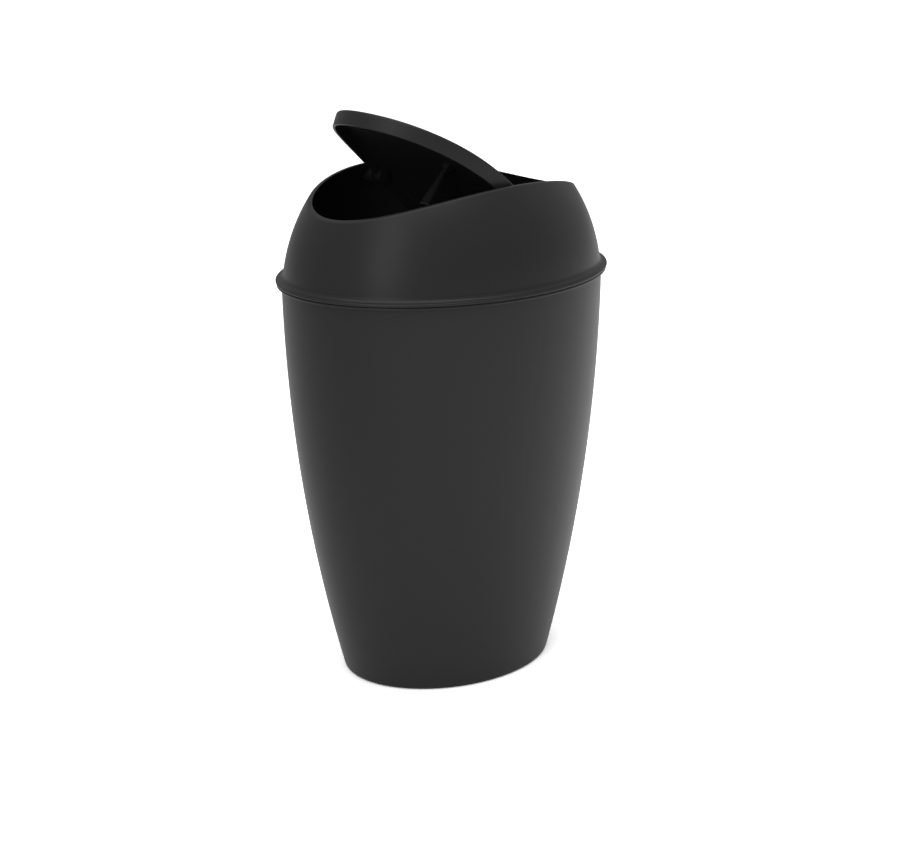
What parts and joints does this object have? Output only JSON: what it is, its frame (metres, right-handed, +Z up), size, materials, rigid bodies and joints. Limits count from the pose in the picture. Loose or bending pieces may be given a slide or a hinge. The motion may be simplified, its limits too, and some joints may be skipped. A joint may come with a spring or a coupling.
{
  "type": "countertop bin with swing lid",
  "caption": "Oval countertop bin: a tapering tub, a lift-off domed cover with a saddle-shaped mouth, and a crowned lid that swings on side pivots.",
  "frame": {"origin": "centre of the foot, on the surface the bin stands on", "axes": "+Z up, +X along the oval's long axis, with the raised end of the lid towards -X, +Y across it along the lid's pivot axis"},
  "size_m": [0.2, 0.16, 0.3193],
  "materials": {
    "tub_plastic": "satin moulded polypropylene, charcoal",
    "cover_plastic": "satin moulded polypropylene, charcoal",
    "lid_plastic": "satin moulded polypropylene, charcoal",
    "weight_plastic": "smoother moulded plastic, charcoal"
  },
  "bodies": {
    "tub": {"tub": "tub_plastic"},
    "cover": {"cover": "cover_plastic"},
    "lid": {"swing_lid": "lid_plastic", "counterweight": "weight_plastic"}
  },
  "joints": [
    {"name": "cover_lift", "type": "slide", "parent": "tub", "child": "cover", "axis": [0, 0, 1], "range_m": [0, 0.06]},
    {"name": "lid_swing", "type": "hinge", "parent": "cover", "child": "lid", "pos_m": [0, 0, 0.2717], "axis": [0, 1, 0], "range_deg": [-133, 47]}
  ]
}
